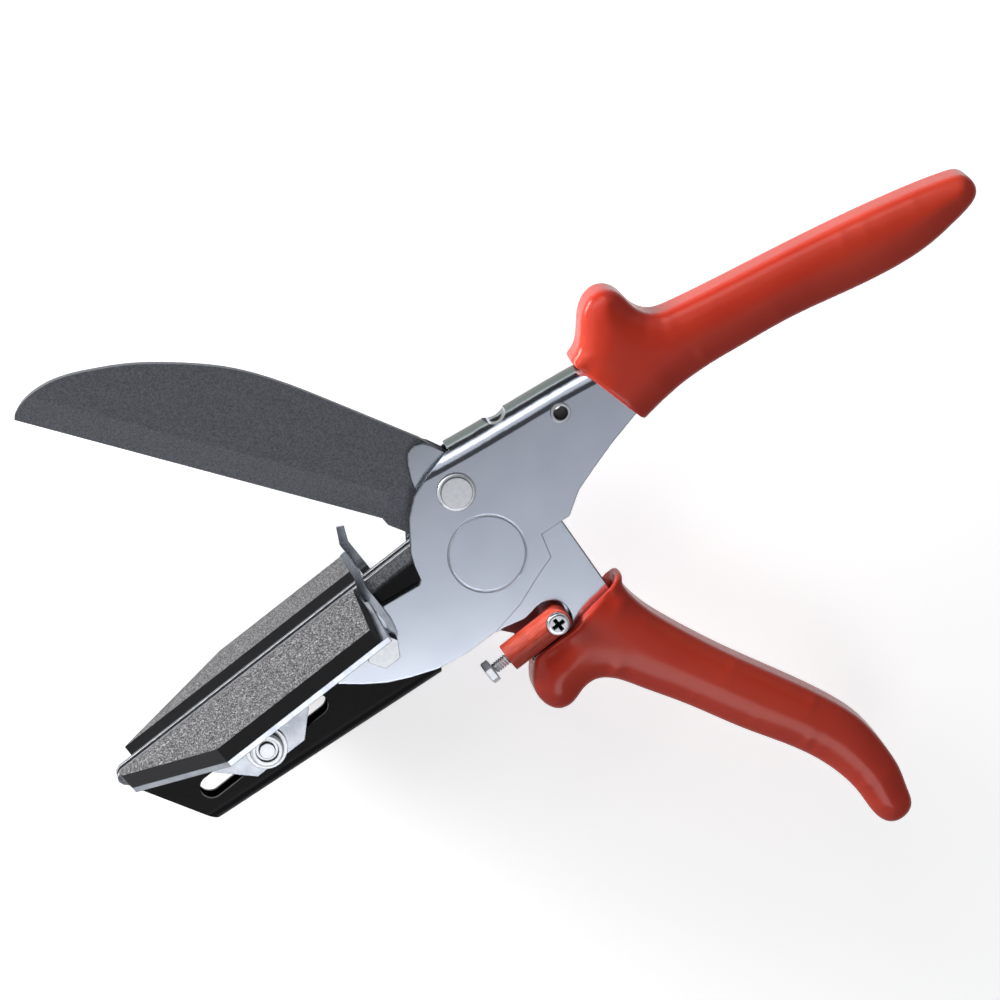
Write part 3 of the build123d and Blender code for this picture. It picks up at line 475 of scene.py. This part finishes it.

# Bolts, nuts, washers and rivets: turned or pressed steel, zinc-plated, bright with faint clouds about 1 mm
# across on the faces that lie flat.  The steep sides and the edges are painted dark grey: a painted reflection
# of the dark gaps, and painted shade along the edges.
screw_steel, tree = new_material("zinc_plated_fastener")
spot = add(tree, "ShaderNodeTexCoord")
cloud = add(tree, "ShaderNodeTexNoise", {"Vector": spot.outputs["Object"]}, Scale=900.0, Detail=3.0)
tone = add(tree, "ShaderNodeValToRGB", {"Fac": cloud.outputs["Fac"]})
for stop, share, colour in zip(tone.color_ramp.elements, (0.3, 0.7), ("#E4E8EE", "#F2F5F8")):
    stop.position, stop.color = share, linear(colour)
edge, rounded = dark_edge(tree, 0.3 * mm)
# Steep sides and edges are painted dark grey: painted reflection and painted shade.
facing = add(tree, "ShaderNodeSeparateXYZ", {0: spot.outputs["Normal"]})
steep = add(tree, "ShaderNodeMath", {0: facing.outputs["Z"]}, operation="ABSOLUTE")
steep = add(tree, "ShaderNodeMapRange", {"Value": steep.outputs[0]}, From_Min=0.6, From_Max=0.3)
dark = add(tree, "ShaderNodeMath", {0: steep.outputs["Result"], 1: edge}, operation="MAXIMUM")
shade = add(tree, "ShaderNodeMix", {0: dark.outputs[0], 6: tone.outputs["Color"]}, data_type="RGBA")
shade.inputs[7].default_value = linear("#3A3E45")
skin = add(tree, "ShaderNodeBsdfPrincipled", {"Base Color": shade.outputs[2], "Normal": rounded},
           Metallic=1.0, Roughness=0.30)
add(tree, "ShaderNodeOutputMaterial", {"Surface": skin.outputs[0]})
dress(["pivot_bolt", "pivot_nut", "pivot_washers", "table_bolt", "table_nut", "table_washers",
       "table_spacer", "stop_bolt", "stop_nut", "stop_spacer", "blade_rivets",
       "latch_insert", "latch_nut"], screw_steel)

# Hollow rivet and cross-head screw: the same bright plating, but the bore and the cross are painted near-black,
# painted shade in the hollows.
# The bore is what lies within its radius of the rivet's axis, the cross what lies below the head's top.
painted_shade_pieces = (("hollow_rivet_painted_shade", "spring_pin", (32.6, -0.4), 1.85, None),
                  ("cross_head_painted_shade", "latch_screw", (-0.598, -42.3), 1.80, 9.55))
for name, node, centre, inner, shade_top in painted_shade_pieces:
    shaded_metal, tree = new_material(name)
    spot = add(tree, "ShaderNodeTexCoord")
    parts = add(tree, "ShaderNodeSeparateXYZ", {0: spot.outputs["Object"]})
    middle = add(tree, "ShaderNodeCombineXYZ", X=hinge.x + centre[0] * mm, Y=hinge.y + centre[1] * mm)
    flat_spot = add(tree, "ShaderNodeCombineXYZ", {"X": parts.outputs["X"], "Y": parts.outputs["Y"]})
    away = add(tree, "ShaderNodeVectorMath", {0: flat_spot.outputs[0], 1: middle.outputs[0]},
               operation="DISTANCE")
    within = add(tree, "ShaderNodeMath", {0: away.outputs["Value"]}, operation="LESS_THAN")
    within.inputs[1].default_value = inner * mm
    if shade_top:
        below = add(tree, "ShaderNodeMath", {0: parts.outputs["Z"]}, operation="LESS_THAN")
        below.inputs[1].default_value = hinge.z + shade_top * mm
        within = add(tree, "ShaderNodeMath", {0: within.outputs[0], 1: below.outputs[0]},
                     operation="MULTIPLY")
    cloud = add(tree, "ShaderNodeTexNoise", {"Vector": spot.outputs["Object"]}, Scale=900.0, Detail=3.0)
    tone = add(tree, "ShaderNodeValToRGB", {"Fac": cloud.outputs["Fac"]})
    for stop, share, colour in zip(tone.color_ramp.elements, (0.3, 0.7), ("#E4E8EE", "#F2F5F8")):
        stop.position, stop.color = share, linear(colour)
    edge, rounded = dark_edge(tree, 0.3 * mm)
    # The bore and the cross are painted near-black: painted shade in the hollows.
    dark = add(tree, "ShaderNodeMath", {0: within.outputs[0], 1: edge}, operation="MAXIMUM")
    shade = add(tree, "ShaderNodeMix", {0: dark.outputs[0], 6: tone.outputs["Color"]}, data_type="RGBA")
    shade.inputs[7].default_value = linear("#101114")
    rough = add(tree, "ShaderNodeMapRange", {"Value": within.outputs[0]}, To_Min=0.14, To_Max=0.6)
    skin = add(tree, "ShaderNodeBsdfPrincipled",
               {"Base Color": shade.outputs[2], "Normal": rounded, "Roughness": rough.outputs["Result"]},
               Metallic=1.0)
    add(tree, "ShaderNodeOutputMaterial", {"Surface": skin.outputs[0]})
    dress([node], shaded_metal)

# Adjusting bolt: a small zinc-plated hexagon bolt of M3 size, screwed into the end of the catch.  Its thread
# is drawn at a pitch of 0.7 mm instead of 0.5, so that the turns can be told apart.
pitch, crest, root, turns, round_steps = 0.7 * mm, 1.5 * mm, 1.12 * mm, 15, 24
thread_weld = 0.002 * mm
head_radius, head_height, head_bevel = 3.175 * mm, 2.0 * mm, 0.4 * mm
thread_start, head_middle, head_crown = 0.2 * mm, -0.9 * mm, -1.5 * mm
bolt_place = hinge + mm * Vector((-20.7, -42.3, 5.5))
made = bmesh.new()
profile = ((0, root), (0.15, root), (0.5, crest), (0.65, crest), (1, root))
line = [made.verts.new((along * pitch, radius, 0)) for along, radius in profile]
edges = [made.edges.new(pair) for pair in zip(line, line[1:])]
bmesh.ops.spin(made, geom=line + edges, cent=(0, 0, 0), axis=(1, 0, 0), dvec=(pitch / round_steps, 0, 0),
               angle=2 * math.pi * turns, steps=round_steps * turns, use_merge=False, use_duplicate=False)
bmesh.ops.remove_doubles(made, verts=made.verts, dist=thread_weld)
bmesh.ops.holes_fill(made, edges=[e for e in made.edges if e.is_boundary], sides=0)
bmesh.ops.recalc_face_normals(made, faces=made.faces)
for face in made.faces:
    face.smooth = len(face.verts) < 5
bmesh.ops.translate(made, vec=(thread_start, 0, 0), verts=made.verts)
head = bmesh.ops.create_cone(made, cap_ends=True, segments=6, radius1=head_radius, radius2=head_radius,
                             depth=head_height)
bmesh.ops.rotate(made, cent=(0, 0, 0), matrix=Matrix.Rotation(math.radians(90), 3, "Y"), verts=head["verts"])
bmesh.ops.translate(made, vec=(head_middle, 0, 0), verts=head["verts"])
outer = [e for e in made.edges if all(v in head["verts"] and v.co.x < head_crown for v in e.verts)]
bmesh.ops.bevel(made, geom=outer, offset=head_bevel, affect="EDGES", segments=2, profile=0.5, material=-1)
bmesh.ops.translate(made, vec=bolt_place, verts=made.verts)
mesh = bpy.data.meshes.new("adjusting_bolt_thread")
made.to_mesh(mesh)
made.free()
mesh.materials.append(screw_steel)
threaded = bpy.data.objects.new("adjusting_bolt_thread", mesh)
scene.collection.objects.link(threaded)
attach(threaded, "adjusting_bolt")
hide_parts("latch_bolt")

# Opening spring: drawn spring wire, oiled and grey, wound round the hollow rivet between the frame's sides,
# where little of it shows.
wire, tree = new_material("spring_wire")
spot = add(tree, "ShaderNodeTexCoord")
cloud = add(tree, "ShaderNodeTexNoise", {"Vector": spot.outputs["Object"]}, Scale=500.0, Detail=2.0)
tone = add(tree, "ShaderNodeValToRGB", {"Fac": cloud.outputs["Fac"]})
for stop, share, colour in zip(tone.color_ramp.elements, (0.3, 0.7), ("#6B6E73", "#8E9197")):
    stop.position, stop.color = share, linear(colour)
skin = add(tree, "ShaderNodeBsdfPrincipled", {"Base Color": tone.outputs["Color"]}, Metallic=1.0,
           Roughness=0.35)
add(tree, "ShaderNodeOutputMaterial", {"Surface": skin.outputs[0]})
dress(["torsion_spring"], wire)

# Catch: a bar of red moulded plastic that swings on its cross-head screw in a cut-out of the lower handle.
# Fine lines run along it, drawn about 0.25 mm apart.
moulded, tree = new_material("red_moulded_plastic")
spot = add(tree, "ShaderNodeTexCoord")
stretch = add(tree, "ShaderNodeMapping", {"Vector": spot.outputs["Object"]})
stretch.inputs["Scale"].default_value = (0.08, 1.0, 1.0)
lines = add(tree, "ShaderNodeTexNoise", {"Vector": stretch.outputs["Vector"]}, Scale=4200.0, Detail=2.0)
tone = add(tree, "ShaderNodeValToRGB", {"Fac": lines.outputs["Fac"]})
for stop, share, colour in zip(tone.color_ramp.elements, (0.35, 0.65), ("#B03622", "#D24E38")):
    stop.position, stop.color = share, linear(colour)
dents = add(tree, "ShaderNodeBump", {"Height": lines.outputs["Fac"]}, Strength=0.15, Distance=0.0001)
skin = add(tree, "ShaderNodeBsdfPrincipled",
           {"Base Color": tone.outputs["Color"], "Normal": dents.outputs["Normal"]},
           Roughness=0.35, IOR=1.5)
add(tree, "ShaderNodeOutputMaterial", {"Surface": skin.outputs[0]})
dress(["latch_block"], moulded)
